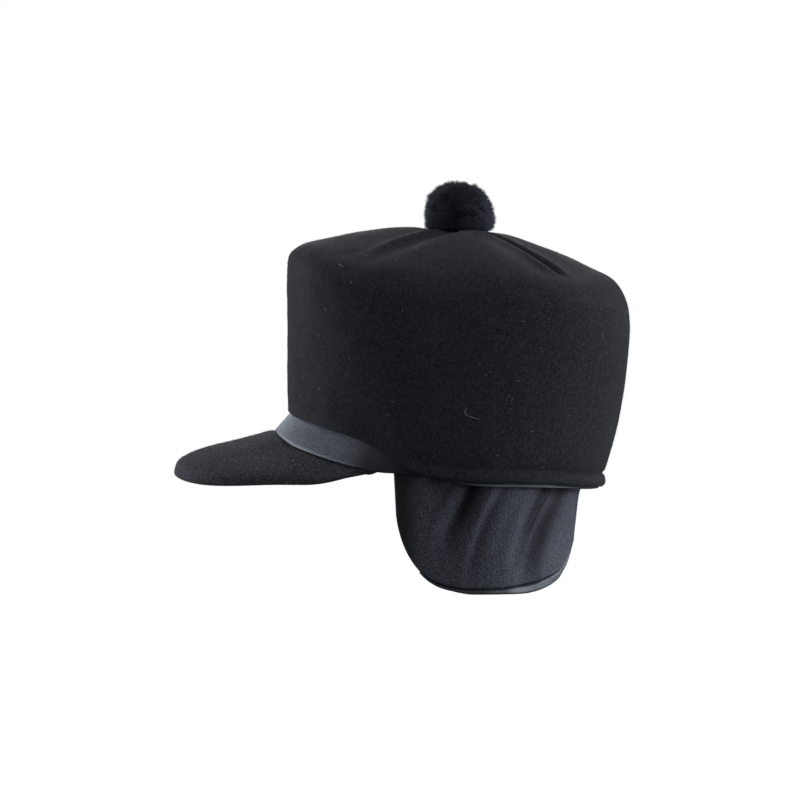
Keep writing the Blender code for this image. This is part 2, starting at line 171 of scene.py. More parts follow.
# Nap and lint: least, greatest and usual
NAP_LIFT = (4, 70, 14)
NAP_UNEVEN = (0.4, 1.5, 0.8)
FELT_NAP = {"width": 0.00007, "length": 0.0016}
FLANNEL_NAP = {"width": 0.00006, "length": 0.0010}
LINT_LENGTH = (0.0004, 0.0026, 0.0006)
LINT_WIDTH = 0.00018
LINT_CURL = 0.25
LINT_LIFT = 0.15  # in radians, off the cloth
LINT_CLEAR = 0.0001
LARGE_LINT = 1.6  # how much thicker the larger pieces are
LARGE_LINT_CLEAR = 0.0003
LINT_ON_CROWN = 210
LINT_ON_PEAK = 620
LINT_ON_BAND = 40

LIGHT_WIDTH = 1.0
COOL = (0.79, 0.85, 1.0)
NEUTRAL = (0.96, 0.96, 1.0)

# Mesh of each sheet
CROWN_COLUMNS = 320
CROWN_STEPS = 5  # between two rows of the tables
PEAK_COLUMNS = 144
PEAK_STEPS = 44
EAR_COLUMNS = 300
EAR_STEPS = 56
CLOSE_UP = 0.72  # how much closer together the crown's columns stand at its darts
EAR_CLOSE_UP = 1.25  # how much closer together the ear band's stand at its fronts

# Lower edge of the felt: azimuth in degrees from the front, height as a share of FRONT_EDGE_RISE
FELT_EDGE = (
    (0, 1.00), (16, 0.91), (31, 0.79), (43, 0.68), (53, 0.565), (59, 0.46),
    (65, 0.32), (69, 0.20), (73, 0.09), (80, -0.02), (92, -0.09), (111, -0.115),
    (130, -0.145), (155, -0.19), (180, -0.185),
)

# Lower edge of the ribbon: azimuth, share of RIBBON_FRONT_RISE, share of RIBBON_BACK_DROP
RIBBON_EDGE = (
    (0, 1.00, 0.0), (14, 0.84, 0.0), (24, 0.655, 0.0), (32, 0.53, 0.0), (40, 0.40, 0.0),
    (47, 0.29, 0.0), (54, 0.185, 0.0), (62, 0.08, 0.0), (69, 0.055, 0.0), (76, 0.0, 0.0),
    (92, 0.0, -0.60), (111, 0.0, -0.80), (130, 0.0, -0.90), (155, 0.0, -1.03), (180, 0.0, -1.0),
)

# Rolled hem of the felt: height as a share of HEM_HEIGHT, swell as a share of HEM_ROLL, and how
# much of the wall's own swell is there
HEM_ROWS = (
    # height, roll, wall
    (0.00, 0.00, 0.00),
    (0.22, 0.85, 0.00),
    (0.55, 1.00, 0.00),
    (0.90, 0.60, 0.02),
    (1.15, 0.00, 0.06),
)

# Wall of the crown: climb from hem to shoulder, shares of the three swells, squareness
WALL_ROWS = (
    # climb, front, side, back, squareness
    (0.08, 0.30, 0.26, 0.20, 2.06),
    (0.24, 0.60, 0.50, 0.46, 2.12),
    (0.42, 0.90, 0.73, 0.68, 2.20),
    (0.60, 1.00, 0.91, 0.86, 2.30),
    (0.77, 1.00, 1.00, 0.96, 2.42),
    (0.90, 1.00, 1.00, 1.00, 2.55),
    (1.00, 0.95, 0.95, 1.00, 2.65),
)

# Top of the crown: reach as a share of the wall's, climb from shoulder to top, squareness, and
# shares of CORNER_DIP and DIMPLE_DEPTH
TOP_ROWS = (
    # reach, front, side, back, squareness, dip, dimple
    (0.988, 0.27, 0.115, 0.18, 2.70, 0.30, 0.0),
    (0.950, 0.455, 0.235, 0.345, 2.75, 0.60, 0.0),
    (0.890, 0.595, 0.375, 0.465, 2.75, 0.85, 0.0),
    (0.780, 0.71, 0.53, 0.56, 2.70, 1.00, 0.0),
    (0.620, 0.865, 0.70, 0.70, 2.60, 1.00, 0.0),
    (0.440, 0.97, 0.845, 0.82, 2.45, 0.85, 0.0),
    (0.280, 1.00, 0.94, 0.915, 2.25, 0.60, 0.0),
    (0.170, 1.00, 0.975, 0.96, 2.10, 0.25, 0.35),
    (0.080, 1.00, 1.00, 1.00, 2.00, 0.0, 1.0),
    (0.000, 1.00, 1.00, 1.00, 2.00, 0.0, 1.0),
)

# Darts, out from the pompom: reach, depth in front, depth behind, as shares of DART_DEPTH
DARTS = (
    (0.08, 0.0, 0.0), (0.20, 0.8, 0.6), (0.40, 1.1, 0.9), (0.55, 1.0, 1.0), (0.66, 0.7, 1.15),
    (0.75, 0.35, 1.15), (0.81, 0.15, 0.7), (0.87, 0.0, 0.1), (1.00, 0.0, 0.0),
)

# Across a dart: height, place and width of each swell, as shares of DART_DEPTH and DART_WIDTH
FRONT_DART = ((1.00, 0.0, 1.1), (-1.10, 2.9, 1.9))
BACK_DART = ((0.60, 1.5, 1.0), (0.60, -1.5, 1.0), (-0.85, 0.0, 2 / 3), (-0.25, -4.2, 1.9))

# Peak: share of the way from ribbon to rim, share of the fall
PEAK_ROWS = (
    # out, fall
    (0.00, 0.0),
    (0.05, -0.030),
    (0.12, 0.008),
    (0.25, 0.088),
    (0.50, 0.238),
    (0.72, 0.400),
    (0.87, 0.552),
    (0.955, 0.71),
    (1.00, 1.00),
)

# Lower edge of the ear band behind the ear: azimuth, share of the step from nape to ear
EAR_EDGE = (
    (98, 1.0), (114, 1.0), (126, 0.99), (134, 0.93), (142, 0.84), (149, 0.73),
    (155, 0.56), (162, 0.34), (168, 0.15), (173, 0.03), (180, 0.0),
)

# Width of the ear band's hem: azimuth, share of HEM_WIDTH
HEM_EDGE = (
    (77, 0.16), (86, 0.38), (97, 0.55), (110, 0.62), (126, 0.95), (140, 1.0),
    (152, 0.80), (162, 0.45), (172, 0.22), (180, 0.22),
)

# Gathers of the ear band: azimuth of the upper end, lean forward on the way down, width of the
# long slope behind it, all in degrees, then the share of FOLD_DEPTH and of the depth it reaches
FOLDS = (
    # azimuth, lean, width, depth, reach
    (90.0, 20.0, 4.8, 0.60, 0.62),
    (100.5, 21.0, 6.6, 1.65, 0.88),
    (118.0, 26.0, 3.6, 0.30, 1.10),
    (141.0, 26.0, 6.4, 1.20, 1.05),
    (156.5, 34.0, 7.6, 1.45, 1.20),
    (176.0, 14.0, 4.2, 0.45, 0.60),
)

# Lean of the ear band: share of its depth, share of the lean at the side and at the nape
EAR_LEAN = (
    (0.0, 0.0, 0.0), (0.15, 0.15, 0.45), (0.25, 0.28, 0.66), (0.42, 0.50, 0.77), (0.62, 0.74, 0.88),
    (1.0, 1.0, 0.93),
)

# Larger pieces of lint on the wearer's left, from end to end of each
LINT = (
    # along and up, at each point
    ((0.0113, 0.0442), (0.0100, 0.0428), (0.0102, 0.0410), (0.0115, 0.0396), (0.0134, 0.0388)),
    ((0.0130, 0.0390), (0.0148, 0.0384), (0.0166, 0.0378), (0.0184, 0.0374), (0.0200, 0.0371)),
    ((0.0401, 0.0492), (0.0405, 0.0498), (0.0411, 0.0499)),
    ((0.0312, 0.0136), (0.0315, 0.0142), (0.0317, 0.0148)),
    ((0.0530, 0.0290), (0.0536, 0.0296), (0.0544, 0.0297)),
    ((-0.0640, 0.1266), (-0.0636, 0.1258), (-0.0637, 0.1250)),
    ((-0.0722, 0.1384), (-0.0706, 0.1374), (-0.0690, 0.1366)),
    ((-0.0810, 0.1098), (-0.0806, 0.1086), (-0.0800, 0.1075)),
    ((-0.0852, 0.0932), (-0.0849, 0.0920), (-0.0850, 0.0909)),
    ((-0.0853, 0.0574), (-0.0848, 0.0566), (-0.0847, 0.0558)),
    ((0.0999, 0.0928), (0.1002, 0.0916), (0.1003, 0.0905)),
)

# Studio lights, each turned to the cap
LIGHTS = (
    # name, place, watts where its colour is 1, by its green, colour
    ("front", (0.25, -1.8, 0.25), 26.0, COOL),
    ("front_far", (-0.9, -1.6, 0.3), 27.0, COOL),
    ("front_high", (0.2, -1.4, 1.3), 7.5, NEUTRAL),
    ("front_far_high", (-0.7, -1.2, 1.3), 21.5, NEUTRAL),
    ("back", (0.05, 1.8, 0.25), 25.0, COOL),
    ("back_side", (0.9, 1.6, 0.3), 30.5, COOL),
    ("back_far", (-0.9, 1.6, 0.3), 5.0, COOL),
    ("back_far_high", (-0.7, 1.2, 1.3), 27.5, NEUTRAL),
    ("far_mid", (-1.7, 0.0, 0.9), 8.0, NEUTRAL),
)
ROOM_LIGHT = 0.15  # how much of the white around the cap lights it
LIT_PLACE = Vector((0.0, 0.0, 0.06))
CAMERA_PLACE = (2.68, -0.03195, 0.0496)


def smooth_read(table, place, column, level_ends=True):
    """The value in a column at a place between the rows, on one smooth curve."""
    place = min(max(place, table[0][0]), table[-1][0])
    index = max(i for i in range(len(table) - 1) if table[i][0] <= place)
    span = table[index + 1][0] - table[index][0]

    def slope(at):
        if at in (0, len(table) - 1) and level_ends:
            return 0.0
        before, after = table[max(at - 1, 0)], table[min(at + 1, len(table) - 1)]
        return (after[column] - before[column]) / (after[0] - before[0])

    share = (place - table[index][0]) / span
    start, end = table[index][column], table[index + 1][column]
    return (
        start * (1 + 2 * share) * (1 - share) ** 2
        + end * (3 - 2 * share) * share**2
        + slope(index) * span * share * (1 - share) ** 2
        - slope(index + 1) * span * share**2 * (1 - share)
    )


def smooth_point(points, place):
    """A point between the points of a row, on one smooth curve through them."""
    index = min(int(place), len(points) - 2)
    share = place - index
    before, start = points[max(index - 1, 0)], points[index]
    end, after = points[index + 1], points[min(index + 2, len(points) - 1)]
    return (
        start
        + (end - before) * (0.5 * share)
        + (before * 2 - start * 5 + end * 4 - after) * (0.5 * share**2)
        + (start * 3 - before - end * 3 + after) * (0.5 * share**3)
    )


def from_front(azimuth):
    """Degrees from the middle of the front, the same on both sides."""
    return abs(math.degrees(math.remainder(azimuth, math.tau)))


def ease(share):
    share = min(max(share, 0.0), 1.0)
    return share * share * (3 - 2 * share)


def hump(away):
    return math.exp(-(away**2))


def front_side_back(azimuth, front, side, back):
    """A value that turns smoothly from front to side to back."""
    toward = math.cos(azimuth)
    return side + ((front if toward > 0 else back) - side) * toward**2


def squared(azimuth, squareness):
    """How far past an ellipse a squarer curve stands out: nothing on the axes, most between."""
    across, along = abs(math.sin(azimuth)), abs(math.cos(azimuth))
    return (across**squareness + along**squareness) ** (-1 / squareness)


def section(azimuth, front, side, back, squareness, height):
    """The point of one level section, from its reaches to the front, the side and the back."""
    bulge = squared(azimuth, squareness)
    reach = front + WIDEST_PLACE if math.cos(azimuth) > 0 else back - WIDEST_PLACE
    return Vector((
        side * math.sin(azimuth) * bulge,
        WIDEST_PLACE - reach * math.cos(azimuth) * bulge,
        height,
    ))


def ribbon_edge_height(azimuth):
    at = from_front(azimuth)
    rise = smooth_read(RIBBON_EDGE, at, 1) * RIBBON_FRONT_RISE
    return rise + smooth_read(RIBBON_EDGE, at, 2) * RIBBON_BACK_DROP


def ribbon_flare(azimuth):
    return RIBBON_FLARE * max(math.cos(azimuth), 0.0) ** FLARE_FADE


def ribbon_rise(azimuth):
    """How high the ribbon stands, which is less than its width where it flares."""
    return math.sqrt(RIBBON_WIDTH**2 - ribbon_flare(azimuth) ** 2)


def ribbon_top_height(azimuth):
    return ribbon_edge_height(azimuth) + ribbon_rise(azimuth)


def level_across(azimuth, thickness):
    """The level distance through a layer of this thickness that lies along the ribbon."""
    return thickness * RIBBON_WIDTH / ribbon_rise(azimuth)


def ribbon_point(azimuth, share, outset):
    """A point a share of the way up the ribbon, this far out from its inner face."""
    stand = ribbon_flare(azimuth) * (1 - share) + level_across(azimuth, outset)
    return section(
        azimuth,
        HEAD_LENGTH / 2 + stand,
        HEAD_WIDTH / 2 + stand,
        HEAD_LENGTH / 2 + stand,
        2.0,
        ribbon_edge_height(azimuth) + ribbon_rise(azimuth) * share,
    )


def rib_lean(azimuth):
    """How far a rib's upper end lies past its lower one, so that it crosses the ribbon squarely."""
    step = math.radians(1.0)
    fall = ribbon_edge_height(azimuth + step) - ribbon_edge_height(azimuth - step)
    return -fall / (2 * step) * ribbon_rise(azimuth) / (HEAD_LENGTH / 2) ** 2


def felt_edge_height(azimuth):
    return smooth_read(FELT_EDGE, from_front(azimuth), 1) * FRONT_EDGE_RISE


def felt_edge_reach(azimuth):
    """How far the felt's lower edge stands out from the head opening, to clear the ribbon."""
    above = felt_edge_height(azimuth) - ribbon_edge_height(azimuth)
    share = min(max(above / ribbon_rise(azimuth), 0.0), 1.0)
    cover = level_across(azimuth, RIBBON_WALL + GAP)
    return ribbon_flare(azimuth) * (1 - share) + cover + CROWN_WALL


def crown_section(azimuth, front, side, back, squareness, height, share=1.0):
    """A section of the crown that stands out past the felt's edge, drawn in to a share of itself."""
    edge = felt_edge_reach(azimuth)
    point = section(
        azimuth,
        HEAD_LENGTH / 2 + edge + front,
        HEAD_WIDTH / 2 + edge + side,
        HEAD_LENGTH / 2 + edge + back,
        squareness,
        height,
    )
    middle = Vector((0.0, WIDEST_PLACE, height))
    return middle + (point - middle) * share


def shoulder_height(azimuth):
    drop = front_side_back(
        azimuth, FRONT_SHOULDER_DROP, SIDE_SHOULDER_DROP, BACK_SHOULDER_DROP
    )
    return CROWN_HEIGHT - drop


def rolled_share(azimuth):
    """How much of its roll the hem has: none in front, all of it at the sides and back."""
    return ease((from_front(azimuth) - ROLL_START) / (ROLL_FULL - ROLL_START))


def crown_rows(azimuth):
    """The crown's points from hem to middle at one azimuth, where the tables give them."""
    edge_height = felt_edge_height(azimuth)
    rolled = rolled_share(azimuth)
    points = []
    for height, roll, wall in HEM_ROWS:
        bulge = HEM_ROLL * roll * rolled
        points.append(crown_section(
            azimuth,
            FRONT_SWELL * wall + bulge,
            SIDE_SWELL * wall + bulge,
            BACK_SWELL * wall + bulge,
            2.0,
            edge_height + HEM_HEIGHT * height,
        ))
    foot = edge_height + HEM_HEIGHT * HEM_ROWS[-1][0]
    shoulder = shoulder_height(azimuth)
    for climb, front, side, back, squareness in WALL_ROWS:
        points.append(crown_section(
            azimuth,
            FRONT_SWELL * front,
            SIDE_SWELL * side,
            BACK_SWELL * back,
            squareness,
            foot + (shoulder - foot) * climb,
        ))
    corner = math.sin(2 * azimuth) ** 4
    for reach, front, side, back, squareness, dip, dimple in TOP_ROWS:
        climb = front_side_back(azimuth, front, side, back)
        points.append(crown_section(
            azimuth,
            FRONT_SWELL,
            SIDE_SWELL,
            BACK_SWELL,
            squareness,
            shoulder
            + (CROWN_HEIGHT - shoulder) * climb
            - CORNER_DIP * dip * corner
            - DIMPLE_DEPTH * dimple,
            reach,
        ))
    return points


def crown_azimuth(column, columns):
    """Columns stand closer together at the four darts."""
    even = math.tau * column / columns
    return even + CLOSE_UP * math.sin(4 * even) / 4


def ear_outline(azimuth):
    """Height of the ear band's lower edge: a round front corner, the ear, then the nape."""
    at = from_front(azimuth)
    bottom = smooth_read(EAR_EDGE, at, 1)
    depth = NAPE_DEPTH + (EAR_DEPTH - NAPE_DEPTH) * bottom
    full = EAR_EDGE[0][0]
    if at < full:
        away = min((full - at) / (full - EAR_FRONT), 1.0)
        corner = (1 - away**EAR_SQUARENESS) ** (1 / EAR_SQUARENESS)
        depth = EAR_STRAIGHT + (EAR_DEPTH - EAR_STRAIGHT) * corner
    return -depth


def seam_height(azimuth):
    """Where the ear band ends and its facing begins."""
    risen = ease((from_front(azimuth) - HEM_START) / SEAM_RISE + 1)
    width = smooth_read(HEM_EDGE, from_front(azimuth), 1) * HEM_WIDTH
    return ear_outline(azimuth) + width * risen


def leant_share(share):
    """How much of its lean a gather has had, this share of the way down the band."""
    return 1 - max(1 - share, 0.0) ** FOLD_BEND


def gathers(azimuth, share):
    """For each gather: how many widths behind it a place lies, how much of it is left at that
    height, and its depth."""
    at = from_front(azimuth)
    for place, lean, width, depth, reach in FOLDS:
        away = (at - place + lean * leant_share(share)) / width
        away *= FOLD_STEEP if away < 0 else 1.0
        fade = 1 - ease((share / reach - FOLD_FULL) / (1 - FOLD_FULL))
        yield away, ease(share / FOLD_START) * fade, depth


def fold_depth(azimuth, share):
    """How far the gathers, and the finer wrinkles between them, sink in the cloth."""
    sink = sum(
        depth * left * (hump(away) - FOLD_SWELL * hump(away + SWELL_AHEAD))
        for away, left, depth in gathers(azimuth, share)
    )
    across = (from_front(azimuth) + WRINKLE_LEAN * leant_share(share)) / WRINKLE_WIDTH
    side = OTHER_SIDE if azimuth > math.pi else 0.0
    wrinkle = noise.noise(Vector((across, share * WRINKLE_RUN, side)))
    return FOLD_DEPTH * sink + WRINKLE_DEPTH * wrinkle * ease(share / FOLD_START)


def fold_hollow(azimuth, share):
    """How deep in a gather a place lies, from 0 to 1, which sets the painted shade there."""
    inside = sum(
        min(depth, 1.0) * left * hump((away - HOLLOW_BEHIND) / HOLLOW_WIDTH)
        for away, left, depth in gathers(azimuth, share)
    )
    return min(inside, 1.0)


def ear_top(azimuth):
    return ribbon_top_height(azimuth) - EAR_TUCK_SHORT


def ear_share(azimuth, height):
    """How far down the ear band a height is, as a share of its greatest depth."""
    top = ear_top(azimuth)
    return (top - height) / (top + EAR_DEPTH)


def ear_point(azimuth, height, sunk=0.0):
    """A point on the outer face of the ear band."""
    share = ear_share(azimuth, height)
    side = smooth_read(EAR_LEAN, share, 1) * EAR_LEAN_SIDE
    back = smooth_read(EAR_LEAN, share, 2) * EAR_LEAN_BACK
    sink = fold_depth(azimuth, share) * ease((from_front(azimuth) - EAR_FRONT) / FRONT_FLAT) + sunk
    return section(
        azimuth,
        HEAD_LENGTH / 2 - LOOSE_GAP - side - sink,
        HEAD_WIDTH / 2 - LOOSE_GAP - side - sink,
        HEAD_LENGTH / 2 - LOOSE_GAP - back - sink,
        2.0,
        height,
    )


def ear_place_azimuth(point):
    """The azimuth that a point of the ear band was made at, near enough."""
    behind = point.y - WIDEST_PLACE
    across = point.x * (HEAD_LENGTH / 2 - EAR_LEAN_BACK * EAR_LEAN_MEAN) / (HEAD_WIDTH / 2)
    return math.atan2(across, -behind) % math.tau


def ear_azimuth(column, columns, start):
    """From one front edge round the nape to the other, closer together towards the fronts."""
    half = 1 - abs(2 * column / columns - 1)
    away = math.radians(180 - start) * half**EAR_CLOSE_UP
    return math.pi + (away - math.radians(180 - start)) * (1 if column <= columns / 2 else -1)


def rounded(distance, wall):
    """Near the edge of a thick cloth: how far its face sinks, and the share of the wall left."""
    out = min(max(1 - distance / (wall / 2), 0.0), 1.0)
    left = math.sqrt(1 - out**2)
    return wall / 2 * (1 - left), left


def close_to_edge(step, steps):
    """A share of the way from an edge, in steps that start small."""
    share = step / steps
    return share**2 * (1.6 - 0.6 * share)


def peak_point(turn, out):
    """A point on the peak's upper face, a share of the way from the ribbon to the rim. Its ends
    slip up inside the ribbon."""
    below = -(RIBBON_WALL + LOOSE_GAP) / RIBBON_WIDTH
    root = ribbon_point(PEAK_SPREAD * turn / (math.pi / 2), below, -LOOSE_GAP)
    end = ribbon_point(PEAK_SPREAD, below, -LOOSE_GAP)
    middle = ribbon_point(0.0, below, -LOOSE_GAP)
    bulge = squared(turn, PEAK_SQUARENESS)
    tip = middle.y - PEAK_LENGTH
    low_end = end.z - GAP
    low_tip = middle.z - PEAK_DROP
    rim = Vector((
        end.x * math.sin(turn) * bulge,
        end.y + (tip - end.y) * math.cos(turn) * bulge,
        low_end + (low_tip - low_end) * math.cos(turn) ** 2 - PEAK_SIDE_SAG * math.sin(2 * turn) ** 2,
    ))
    point = root.lerp(rim, out)
    point.z = root.z + (rim.z - root.z) * smooth_read(PEAK_ROWS, out, 1, level_ends=False)
    point.z -= PEAK_END_SAG * out * hump((abs(turn) - PEAK_SAG_TURN) / PEAK_SAG_WIDTH)
    from_middle = abs(turn) / (math.pi / 2)
    point.z += PEAK_END_LIFT * ease((from_middle - PEAK_LIFT_START) / (1 - PEAK_LIFT_START))
    return point


def put(name, mesh, material, *nodes):
    """Makes an object of a bmesh, which stands for these nodes of the frame."""
    data = bpy.data.meshes.new(name)
    mesh.to_mesh(data)
    mesh.free()
    data.shade_smooth()
    data.materials.append(material)
    made = bpy.data.objects.new(name, data)
    bpy.context.scene.collection.objects.link(made)
    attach(made, "root")
    if nodes:
        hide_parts(*nodes)
    return made


def sheet(columns, rows, place, fullness=None):
    """A grid of cloth whose corners are set by place(column, row), outer face up. fullness(column,
    row) is how much of its wall it has there."""
    mesh = bmesh.new()
    mesh.loops.layers.uv.new("cloth")
    bmesh.ops.create_grid(mesh, x_segments=columns, y_segments=rows, size=0.5, calc_uvs=True)
    weights = mesh.verts.layers.deform.verify()
    for corner in mesh.verts:
        column = round((corner.co.x + 0.5) * columns)
        row = round((corner.co.y + 0.5) * rows)
        corner.co = place(column, row)
        if fullness:
            corner[weights][0] = fullness(column, row)
    bmesh.ops.remove_doubles(mesh, verts=mesh.verts, dist=1e-6)
    mesh.normal_update()
    return mesh


def thicken(made, wall, least_share=None):
    """Gives a sheet its wall, towards the head, thinner where its weight is less."""
    solidify = made.modifiers.new("wall", "SOLIDIFY")
    solidify.thickness = wall
    solidify.offset = -1
    if least_share is not None:
        made.vertex_groups.new(name="full")
        solidify.vertex_group = "full"
        solidify.thickness_vertex_group = least_share


def dart_rise(at, azimuth):
    """How far the felt stands out at a dart, less where it sinks. The place is counted from the
    crown's middle."""
    reach = math.hypot(at.x / (HEAD_WIDTH / 2 + SIDE_SWELL), at.y / (HEAD_LENGTH / 2 + SIDE_SWELL))
    reach /= squared(azimuth, TOP_SQUARENESS)
    column, across = (1, FRONT_DART) if abs(azimuth) < math.pi / 2 else (2, BACK_DART)
    from_dart = math.remainder(abs(azimuth) - math.pi / 4, math.pi / 2)
    away = at.xy.length * from_dart / DART_WIDTH
    groove = sum(height * hump((away - place) / width) for height, place, width in across)
    on_top = ease((at.z - shoulder_height(azimuth)) / DART_FADE)
    return DART_DEPTH * smooth_read(DARTS, reach, column) * groove * on_top


def crease_depth(at, azimuth):
    """How deep the pressed line above the rolled hem is at a place."""
    above = at.z - felt_edge_height(azimuth) - HEM_HEIGHT * CREASE_PLACE
    toward_back = ease((from_front(azimuth) - CREASE_START) / CREASE_SPAN)
    pressed = rolled_share(azimuth) * (CREASE_LEAST + (1 - CREASE_LEAST) * toward_back)
    return CREASE_DEPTH * pressed * hump(above / CREASE_WIDTH)


def make_crown(felt):
    columns = [crown_rows(crown_azimuth(c, CROWN_COLUMNS)) for c in range(CROWN_COLUMNS)]
    rows = (len(columns[0]) - 1) * CROWN_STEPS
    mesh = sheet(
        CROWN_COLUMNS,
        rows,
        lambda c, r: smooth_point(columns[c % CROWN_COLUMNS], r / CROWN_STEPS),
    )
    middle = Vector((0.0, WIDEST_PLACE, 0.0))
    for corner in mesh.verts:
        at = corner.co - middle
        azimuth = math.atan2(at.x, -at.y)
        upright = 1 - max(corner.normal.z, 0.0) ** 0.5
        uneven = sum(height * noise.noise(corner.co * waves) for height, waves in FELT_WAVES)
        rise = dart_rise(at, azimuth) - crease_depth(at, azimuth) * upright + uneven
        corner.co += corner.normal * rise
    crown = put("felt_crown", mesh, felt, "crown")
    thicken(crown, CROWN_WALL)
    return crown


def make_ribbon(grosgrain):
    """Four columns to a cord. Its two selvedges stand a little proud of the cords."""
    columns = RIBS * 4
    levels = (0.0, 0.02, SELVEDGE_SHARE / 2, SELVEDGE_SHARE, 0.12, 0.5)
    levels = levels + tuple(1 - level for level in reversed(levels[:-1]))

    def place(column, row):
        level = levels[row]
        azimuth = math.tau * column / columns
        from_edge = min(level, 1 - level) / SELVEDGE_SHARE
        selvedge = SELVEDGE_HEIGHT * hump((from_edge - 0.45) * 2.2)
        shown = 1 - RIB_FADE * ease((from_front(azimuth) - RIB_FADE_START) / RIB_FADE_SPAN)
        rib = RIB_HEIGHT * shown * ease(from_edge - 0.5) * math.cos(math.pi / 2 * column)
        outset = RIBBON_WALL + rib + selvedge
        return ribbon_point(azimuth + rib_lean(azimuth) * (level - 0.5), level, outset)

    mesh = sheet(columns, len(levels) - 1, place)
    ribbon = put("grosgrain_ribbon", mesh, grosgrain, "ribbon_band")
    thicken(ribbon, RIBBON_WALL)


def make_peak(felt):
    def out_share(row):
        return 1 - close_to_edge(PEAK_STEPS + 1 - row, PEAK_STEPS)

    def turn(column):
        return math.pi / 2 * (2 * column / PEAK_COLUMNS - 1)

    def rim_distance(column, row):
        return (1 - out_share(row)) * PEAK_LENGTH * max(math.cos(turn(column)), 0.15)

    def place(column, row):
        if row == 0:
            azimuth = PEAK_SPREAD * (2 * column / PEAK_COLUMNS - 1)
            return ribbon_point(azimuth, PEAK_TUCK / RIBBON_WIDTH, -LOOSE_GAP)
        return peak_point(turn(column), out_share(row))

    def fullness(column, row):
        thick = ease((1 - abs(2 * column / PEAK_COLUMNS - 1)) / PEAK_THIN_SHARE)
        return thick if row == 0 else thick * rounded(rim_distance(column, row), PEAK_WALL)[1]

    mesh = sheet(PEAK_COLUMNS, PEAK_STEPS + 1, place, fullness)
    bmesh.ops.reverse_faces(mesh, faces=mesh.faces)
    mesh.normal_update()
    weights = mesh.verts.layers.deform.verify()
    for corner in mesh.verts:
        clear = ease((PEAK_CLEAR - corner.co.y) / PEAK_CLEAR_FADE)
        uneven = PEAK_UNEVEN * noise.noise(corner.co * PEAK_WAVES) * clear
        near_rim = corner.co.y < PEAK_ENDS_BEHIND or corner.co.z < PEAK_ENDS_ABOVE
        sunk = PEAK_WALL / 2 * (1 - corner[weights][0]) if near_rim else 0.0
        corner.co += corner.normal * (uneven - sunk)
    peak = put("felt_peak", mesh, felt, "peak")
    thicken(peak, PEAK_WALL, PEAK_END_WALL / PEAK_WALL)
    return peak


def make_ear_band(flannel):
    """The band carries how deep in a gather each place is, for the painted shade in its gathers."""

    def foot(azimuth):
        low = seam_height(azimuth)
        return low + GAP if from_front(azimuth) > HEM_START - SEAM_RISE else low

    def edge_distance(column, row):
        azimuth = ear_azimuth(column, EAR_COLUMNS, EAR_FRONT)
        up = (ear_top(azimuth) - foot(azimuth)) * close_to_edge(row, EAR_STEPS)
        across = math.radians(from_front(azimuth) - EAR_FRONT) * HEAD_WIDTH / 2
        return min(up, across)

    def place(column, row):
        azimuth = ear_azimuth(column, EAR_COLUMNS, EAR_FRONT)
        low = foot(azimuth)
        sunk = rounded(edge_distance(column, row), EAR_WALL)[0]
        height = low + (ear_top(azimuth) - low) * close_to_edge(row, EAR_STEPS)
        return ear_point(azimuth, height, sunk)

    def fullness(column, row):
        return rounded(edge_distance(column, row), EAR_WALL)[1]

    mesh = sheet(EAR_COLUMNS, EAR_STEPS, place, fullness)
    gathered = mesh.verts.layers.float.new("gathered")
    for corner in mesh.verts:
        azimuth = ear_place_azimuth(corner.co)
        corner[gathered] = fold_hollow(azimuth, ear_share(azimuth, corner.co.z))
    band = put("flannel_ear_band", mesh, flannel, "ear_band")
    thicken(band, EAR_WALL, EDGE_LEAST)
    return band


def make_facing(cloth):
    """The facing covers the band's lower edge: out of sight behind it, then level with its face."""
    rows = 16
    start = HEM_START - SEAM_RISE

    def edges(column, row):
        azimuth = ear_azimuth(column, EAR_COLUMNS, start)
        low, seam = ear_outline(azimuth), seam_height(azimuth)
        height = low + (seam + FACING_TUCK - low) * row / rows
        return azimuth, height, height - low, seam - height

    def place(column, row):
        azimuth, height, above_edge, below_seam = edges(column, row)
        tucked = ease(0.5 - below_seam / EAR_WALL) * (EAR_WALL + GAP)
        sunk = max(tucked, rounded(above_edge, FACING_WALL)[0])
        return ear_point(azimuth, height, FACING_SUNK + sunk)

    def fullness(column, row):
        return rounded(edges(column, row)[2], FACING_WALL)[1]

    mesh = sheet(EAR_COLUMNS, rows, place, fullness)
    facing = put("hem_facing", mesh, cloth, "ear_band_hem")
    thicken(facing, FACING_WALL, EDGE_LEAST)
    return facing


def fibre(mesh, width, length, bends):
    """One fibre that stands on the origin, three-sided and pointed."""
    bmesh.ops.create_circle(mesh, cap_ends=True, segments=3, radius=width / 2)
    bmesh.ops.reverse_faces(mesh, faces=mesh.faces)
    ring = mesh.edges[:]
    for _ in range(bends + 1):
        grown = bmesh.ops.extrude_edge_only(mesh, edges=ring)["geom"]
        ring = [part for part in grown if isinstance(part, bmesh.types.BMEdge)]
        corners = [part for part in grown if isinstance(part, bmesh.types.BMVert)]
        bmesh.ops.translate(mesh, verts=corners, vec=(0, 0, length / (bends + 1)))
    bmesh.ops.pointmerge(mesh, verts=corners, merge_co=(0, 0, length))


def fibres(count, width, length, bends, shape):
    """Many copies of one fibre. shape(index, point) sets each point of each copy."""
    mesh = bmesh.new()
    fibre(mesh, width, length, bends)
    bmesh.ops.recalc_face_normals(mesh, faces=mesh.faces)
    each = len(mesh.verts)
    while len(mesh.verts) < count * each:
        bmesh.ops.duplicate(mesh, geom=mesh.verts[:] + mesh.edges[:] + mesh.faces[:])
    mesh.verts.ensure_lookup_table()
    bmesh.ops.delete(mesh, geom=mesh.verts[count * each :], context="VERTS")
    for place, corner in enumerate(mesh.verts):
        corner.co = shape(place // each, corner.co)
    return mesh


